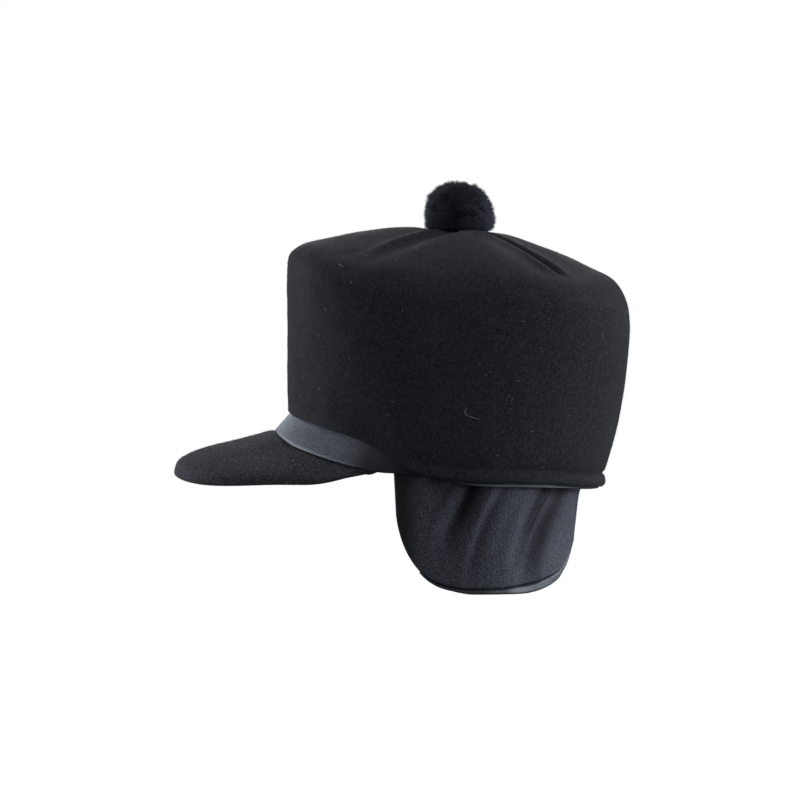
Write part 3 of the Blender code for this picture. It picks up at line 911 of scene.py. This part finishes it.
def spots(carrier, count, chance):
    """Random places on the outer face of a piece, with the way out from each."""
    data = carrier.data
    faces = chance.choices(
        data.polygons, weights=[face.area for face in data.polygons], k=count
    )
    found = []
    for face in faces:
        corners = [data.vertices[i] for i in face.vertices]
        first, second = chance.random(), chance.random()
        near = corners[0].co.lerp(corners[1].co, first)
        far = corners[-1].co.lerp(corners[-2].co, first)
        normal = corners[0].normal.lerp(corners[2 % len(corners)].normal, 0.5)
        found.append((near.lerp(far, second), normal))
    return found


def lay(point, normal, turn, lift):
    """Turns a fibre that stands on the origin so that it lies on a face, raised by an angle."""
    along = normal.orthogonal().normalized()
    along.rotate(Matrix.Rotation(turn, 3, normal))
    way = along * math.cos(lift) + normal * math.sin(lift)
    return Matrix.Translation(point) @ way.to_track_quat("Z", "X").to_matrix().to_4x4()


def make_nap(name, carrier, count, fibre_size, wool, seed):
    """Short fibres brushed up out of the cloth."""
    chance = random.Random(seed)
    lies = []
    for point, normal in spots(carrier, count, chance):
        lift = math.radians(chance.triangular(*NAP_LIFT))
        foot = point - normal * fibre_size["width"]
        turned = lay(foot, normal, chance.uniform(0, math.tau), lift)
        stretch = chance.triangular(*NAP_UNEVEN)
        lies.append(turned @ Matrix.Scale(stretch, 4, Vector((0, 0, 1))))
    mesh = fibres(count, bends=0, shape=lambda index, point: lies[index] @ point, **fibre_size)
    nap = put(name, mesh, wool)


def make_pompom(wool):
    """Cut yarn ends that open into fibres, round a solid core."""
    chance = random.Random(11)
    centre = Vector((0.0, WIDEST_PLACE, CROWN_HEIGHT - DIMPLE_DEPTH + GAP + POMPOM_LOWER))
    golden = math.pi * (3 - math.sqrt(5))
    radius = POMPOM_WIDTH / 2
    ends = []
    for yarn in range(YARNS):
        height = 1 - 2 * (yarn + 0.5) / YARNS
        level = math.sqrt(1 - height**2)
        out = Vector((level * math.cos(golden * yarn), level * math.sin(golden * yarn), height))
        lumps = sum(rise * noise.noise(out * close) for rise, close in POMPOM_LUMPS)
        reach = radius * (1 + lumps + chance.uniform(*YARN_UNEVEN))
        for _ in range(STRANDS):
            spread = Vector(chance.gauss(0, STRAND_SPREAD) for _ in range(3))
            length = reach * chance.uniform(STRAND_LEAST, 1.0)
            ends.append(((out + spread).normalized(), length, chance.uniform(-1, 1)))

    def squash(point):
        """Flattens a ball below its middle, fuller there than an ellipse."""
        lean = math.atan2(point.z, point.xy.length)
        point = point * squared(lean, SQUARE_BELOW if point.z < 0 else SQUARE_ABOVE)
        height = POMPOM_LOWER if point.z < 0 else POMPOM_UPPER
        forward = POMPOM_LEAN * max(point.z, 0.0) / radius
        return Vector((point.x, point.y - forward, point.z * height / radius))

    def shape(index, point):
        out, reach, sway = ends[index]
        share = point.z
        side = out.orthogonal().normalized()
        across = side * point.x + out.cross(side) * point.y
        root = POMPOM_CORE * STRAND_ROOT
        stem = out * (root + (reach - root) * share)
        curl = side * (STRAND_CURL * sway * math.sin(math.pi * share))
        return centre + squash(stem + across * (1.25 - 0.5 * share) + curl)

    mesh = fibres(len(ends), STRAND_WIDTH, 1.0, 1, shape)
    bmesh.ops.recalc_face_normals(mesh, faces=mesh.faces)
    core = bmesh.ops.create_icosphere(mesh, subdivisions=4, radius=POMPOM_CORE)["verts"]
    for corner in core:
        corner.co = centre + squash(corner.co)
    pompom = put("wool_pompom", mesh, wool, "pompom")


def make_lint(crown, peak, band, pale):
    """Stray pale hairs: the larger ones on the wearer's left, and a scatter all over."""
    chance = random.Random(23)
    rows = [
        [crown.ray_cast(Vector((0.3, *place)), Vector((-1, 0, 0)))[1] for place in stroke]
        for stroke in LINT
    ]
    lies = []
    for carrier, count in ((crown, LINT_ON_CROWN), (peak, LINT_ON_PEAK), (band, LINT_ON_BAND)):
        for point, normal in spots(carrier, count, chance):
            foot = point + normal * LINT_CLEAR
            turned = lay(foot, normal, chance.uniform(0, math.tau), LINT_LIFT)
            lies.append((turned, chance.triangular(*LINT_LENGTH)))

    def shape(index, point):
        if index < len(rows):
            middle = smooth_point(rows[index], point.z * (len(rows[index]) - 1))
            return middle + Vector((LARGE_LINT_CLEAR, point.x * LARGE_LINT, point.y * LARGE_LINT))
        turned, length = lies[index - len(rows)]
        curl = LINT_CURL * length * point.z**2
        return turned @ Vector((point.x + curl, point.y, point.z * length))

    mesh = fibres(len(rows) + len(lies), LINT_WIDTH, 1.0, 3, shape)
    bmesh.ops.recalc_face_normals(mesh, faces=mesh.faces)
    put("lint", mesh, pale)


def feed(tree, socket, value):
    """Gives an input its value: another node's output, a colour of three numbers, or a number."""
    if isinstance(value, bpy.types.NodeSocket):
        tree.links.new(value, socket)
    elif isinstance(value, tuple):
        socket.default_value = (*value, 1.0)
    else:
        socket.default_value = value


def add(tree, kind, settings=(), **inputs):
    """A node with these settings and inputs, spaces in their names written as _."""
    node = tree.nodes.new(kind)
    for name, value in dict(settings).items():
        setattr(node, name, value)
    for name, value in inputs.items():
        feed(tree, node.inputs[name.replace("_", " ")], value)
    return node


def grain(tree, place, scale, detail=3.0, roughness=0.6, distortion=0.0):
    """A noise pattern of this many features to a metre."""
    made = add(
        tree, "ShaderNodeTexNoise", Vector=place, Scale=scale, Detail=detail, Roughness=roughness,
        Distortion=distortion,
    )
    return made.outputs["Fac"]


def between(tree, value, low, high, rise="SMOOTHSTEP"):
    """Goes from 0 at the low end to 1 at the high end, or back if high is lower."""
    made = add(
        tree, "ShaderNodeMapRange", {"interpolation_type": rise}, Value=value, From_Min=low,
        From_Max=high,
    )
    return made.outputs["Result"]


def worked(tree, operation, first, second=0.0):
    """A number worked out of two others."""
    made = add(tree, "ShaderNodeMath", {"operation": operation})
    for socket, value in zip(made.inputs, (first, second)):
        feed(tree, socket, value)
    return made.outputs["Value"]


def blend(tree, share, below, above):
    """One colour over another, by a share."""
    mix = add(tree, "ShaderNodeMix", {"data_type": "RGBA"}, Factor=share)
    first_color, second_color = mix.inputs[6:8]
    feed(tree, first_color, below)
    feed(tree, second_color, above)
    return mix.outputs[2]


def ramp(tree, value, low, high, dark, light):
    """Turns a value between low and high evenly into a colour between dark and light."""
    return blend(tree, between(tree, value, low, high, "LINEAR"), dark, light)


def bump(tree, height, distance, strength, below=None):
    made = add(tree, "ShaderNodeBump", Height=height, Strength=strength, Distance=distance)
    if below:
        tree.links.new(below, made.inputs["Normal"])
    return made.outputs["Normal"]


def along_cloth(tree):
    """Shares of the way from a sheet's nearer end, up it, and along the whole of it."""
    parts = add(tree, "ShaderNodeSeparateXYZ")
    tree.links.new(add(tree, "ShaderNodeUVMap", {"uv_map": "cloth"}).outputs["UV"], parts.inputs[0])
    from_middle = worked(tree, "ABSOLUTE", worked(tree, "SUBTRACT", parts.outputs["X"], 0.5))
    return worked(tree, "SUBTRACT", 0.5, from_middle), parts.outputs["Y"], parts.outputs["X"]


def scaled(color, factor):
    return tuple(channel * factor for channel in color)


def cloth_material(name, roughness, sheen, sheen_roughness, specular):
    """A material, its nodes, its shader, and the place on the piece that its patterns read."""
    material = bpy.data.materials.new(name)
    material.use_nodes = True
    tree = material.node_tree
    shader = tree.nodes["Principled BSDF"]
    shader.inputs["Roughness"].default_value = roughness
    shader.inputs["Sheen Weight"].default_value = sheen
    shader.inputs["Sheen Roughness"].default_value = sheen_roughness
    shader.inputs["Specular IOR Level"].default_value = specular
    return material, tree, shader, add(tree, "ShaderNodeTexCoord").outputs["Object"]


def felt_material(name, color, fleck, sheen, specular, fleck_start):
    """Brushed wool felt: cloudy, with a curly nap and paler fibres in it."""
    material, tree, shader, place = cloth_material(name, 0.5, sheen, 0.35, specular)
    clouds = grain(tree, place, 45, 4)
    curls = grain(tree, place, 620, 5, 0.7, 1.4)
    hairs = grain(tree, place, 1500, 3, 0.7, 0.6)
    cloudy = ramp(tree, clouds, 0.3, 0.7, scaled(color, 0.82), scaled(color, 1.18))
    curled = ramp(tree, curls, 0.42, 0.72, scaled(color, 0.62), scaled(color, 2.4))
    felted = blend(tree, 0.75, cloudy, curled)
    flecked = ramp(tree, hairs, fleck_start, fleck_start + 0.1, felted, fleck)
    tree.links.new(flecked, shader.inputs["Base Color"])
    rough = bump(tree, curls, 0.0006, 0.8)
    tree.links.new(bump(tree, hairs, 0.00025, 0.7, rough), shader.inputs["Normal"])
    return material


def wool_material(name, color, contrast):
    """Loose fibres."""
    material, tree, shader, place = cloth_material(name, 0.8, 0.0, 0.4, 0.0)
    strands = grain(tree, place, 900, 2)
    shades = scaled(color, 1 / contrast), scaled(color, contrast)
    tree.links.new(ramp(tree, strands, 0.38, 0.64, *shades), shader.inputs["Base Color"])
    return material


def grosgrain_material():
    """Ribbed ribbon with painted shade between its cords and past its front, and paler selvedges in
    front and behind the ear.
    """
    color = (0.0655, 0.0722, 0.0796)
    painted_shade_color = (0.0030, 0.0031, 0.0033)
    selvedge_color = (0.052, 0.059, 0.066)
    material, tree, shader, place = cloth_material("grey_grosgrain", 0.42, 0.01, 0.3, 0.22)
    shader.inputs["Specular Tint"].default_value = (0.86, 0.93, 1.0, 1.0)
    threads = grain(tree, place, 1300, 2, 0.5, 0.2)
    base = ramp(tree, threads, 0.34, 0.66, scaled(color, 0.4), scaled(color, 1.9))
    along, up, around = along_cloth(tree)
    cord = worked(tree, "COSINE", worked(tree, "MULTIPLY", around, math.tau * RIBS))
    # Painted shade between the cords: the gaps are darkened to a quarter of the ribbon's colour.
    ribbed = blend(tree, between(tree, cord, -0.9, 0.6), scaled(color, 0.25), base)
    # Painted shade: past its front corners the ribbon is darkened to near black, and front is the
    # share of it left without that shade.
    front = between(tree, along, 0.162, 0.124)
    shaded = blend(tree, front, painted_shade_color, ribbed)
    from_middle = worked(tree, "ABSOLUTE", worked(tree, "SUBTRACT", up, 0.5))
    selvedge = between(tree, from_middle, 0.16, 0.32)
    past_ear = between(tree, along, 0.23, 0.27)
    behind = worked(tree, "MULTIPLY", past_ear, between(tree, along, 0.33, 0.29))
    low = worked(tree, "MULTIPLY", between(tree, up, 0.5, 0.2), behind)
    # The selvedges keep their paler colour in front and on the lower edge behind the ear. Elsewhere
    # the painted shade covers them.
    share = worked(tree, "MULTIPLY", selvedge, worked(tree, "MAXIMUM", front, low))
    tree.links.new(blend(tree, share, shaded, selvedge_color), shader.inputs["Base Color"])
    tree.links.new(bump(tree, threads, 0.0004, 0.7), shader.inputs["Normal"])
    return material


def flannel_material():
    """Soft flannel: painted shade in its gathers, darker towards its front edges, and a painted
    highlight just inside each.
    """
    color = (0.0244, 0.0258, 0.0300)
    edge_color = (0.0060, 0.0063, 0.0063)
    painted_highlight_color = (0.026, 0.028, 0.030)
    material, tree, shader, place = cloth_material("blue_grey_flannel", 0.62, 0.02, 0.35, 0.12)
    stitches = grain(tree, place, 950, 3, 0.7, 0.3)
    clouds = grain(tree, place, 160, 3)
    stitched = ramp(tree, stitches, 0.36, 0.66, scaled(color, 0.15), scaled(color, 2.5))
    cloudy = ramp(tree, clouds, 0.3, 0.7, scaled(color, 0.85), scaled(color, 1.15))
    open_cloth = blend(tree, 0.25, stitched, cloudy)
    # Painted shade: the flannel is darkened in its gathers, by the gathered value that the band
    # carries.
    painted_fold_shade = ramp(tree, stitches, 0.36, 0.66, scaled(color, 0.02), scaled(color, 0.36))
    gathered = add(tree, "ShaderNodeAttribute", {"attribute_name": "gathered"}).outputs["Fac"]
    fold_shaded = blend(tree, worked(tree, "MULTIPLY", gathered, 0.95), open_cloth, painted_fold_shade)
    along, _, _ = along_cloth(tree)
    # Darker towards each front edge.
    turned = blend(tree, between(tree, along, 0.080, 0.028), fold_shaded, edge_color)
    # Painted highlight: a pale line a little inside each front edge.
    highlight_start = between(tree, along, 0.0045, 0.0065)
    line = worked(tree, "MULTIPLY", highlight_start, between(tree, along, 0.0115, 0.0090))
    tree.links.new(blend(tree, line, turned, painted_highlight_color), shader.inputs["Base Color"])
    tree.links.new(bump(tree, stitches, 0.0005, 0.7), shader.inputs["Normal"])
    return material


def facing_material():
    color = (0.0100, 0.0135, 0.0150)
    material, tree, shader, place = cloth_material("light_facing", 0.5, 0.02, 0.4, 0.40)
    threads = grain(tree, place, 900, 2)
    base = ramp(tree, threads, 0.3, 0.7, scaled(color, 0.7), scaled(color, 1.3))
    tree.links.new(base, shader.inputs["Base Color"])
    tree.links.new(bump(tree, threads, 0.0002, 0.4), shader.inputs["Normal"])
    return material


def make_light(name, place, power, color):
    data = bpy.data.lights.new(name, "AREA")
    data.shape = "DISK"
    data.size = LIGHT_WIDTH
    data.energy = power / color[1]
    data.color = color
    light = bpy.data.objects.new(name, data)
    light.location = place
    toward = LIT_PLACE - light.location
    light.rotation_euler = toward.to_track_quat("-Z", "Y").to_euler()
    bpy.context.scene.collection.objects.link(light)
    light.visible_camera = False


def make_studio():
    """White all round, and soft lights before and behind the cap, with one on its far side."""
    for light in LIGHTS:
        make_light(*light)
    world = bpy.data.worlds.new("white_room")
    world.use_nodes = True
    tree = world.node_tree
    sky = tree.nodes["Background"]
    seen = add(tree, "ShaderNodeLightPath")
    white = add(tree, "ShaderNodeBackground", Color=(1.0, 1.0, 1.0), Strength=1.0)
    either = add(tree, "ShaderNodeMixShader")
    sky.inputs["Color"].default_value = (1.0, 1.0, 1.0, 1.0)
    sky.inputs["Strength"].default_value = ROOM_LIGHT
    tree.links.new(seen.outputs["Is Camera Ray"], either.inputs["Fac"])
    tree.links.new(sky.outputs["Background"], either.inputs[1])
    tree.links.new(white.outputs["Background"], either.inputs[2])
    tree.links.new(either.outputs["Shader"], tree.nodes["World Output"].inputs["Surface"])
    bpy.context.scene.world = world
    bpy.context.scene.view_settings.view_transform = "Standard"


def make_camera():
    data = bpy.data.cameras.new("side_view")
    data.lens = 180
    data.sensor_width = 36
    data.clip_end = 100
    camera = bpy.data.objects.new("side_view", data)
    camera.location = CAMERA_PLACE
    camera.rotation_euler = (math.radians(90), 0, math.radians(90))
    bpy.context.scene.collection.objects.link(camera)
    bpy.context.scene.camera = camera


make_camera()
make_studio()

black_felt = felt_material(
    "black_felt",
    color=(0.0140, 0.0143, 0.0147),
    fleck=(0.080, 0.083, 0.088),
    sheen=0.026,
    specular=0.004,
    fleck_start=0.63,
)
peak_felt = felt_material(
    "peak_felt",
    color=(0.0205, 0.0209, 0.0220),
    fleck=(0.130, 0.134, 0.142),
    sheen=0.030,
    specular=0.008,
    fleck_start=0.60,
)
black_wool = wool_material("black_wool", (0.0130, 0.0134, 0.0140), 2.4)
pompom_wool = wool_material("pompom_wool", (0.0265, 0.0278, 0.0320), 1.15)
pale_lint = wool_material("pale_lint", (0.16, 0.165, 0.17), 1.3)

felt_crown = make_crown(black_felt)
make_ribbon(grosgrain_material())
felt_peak = make_peak(peak_felt)
ear_band = make_ear_band(flannel_material())
hem_facing = make_facing(facing_material())
make_pompom(pompom_wool)
make_nap("crown_nap", felt_crown, 36000, FELT_NAP, black_wool, seed=3)
make_nap("peak_nap", felt_peak, 8000, FELT_NAP, black_wool, seed=4)
make_nap("ear_band_nap", ear_band, 9000, FLANNEL_NAP, black_wool, seed=5)
bpy.context.view_layer.update()
make_lint(felt_crown, felt_peak, ear_band, pale_lint)
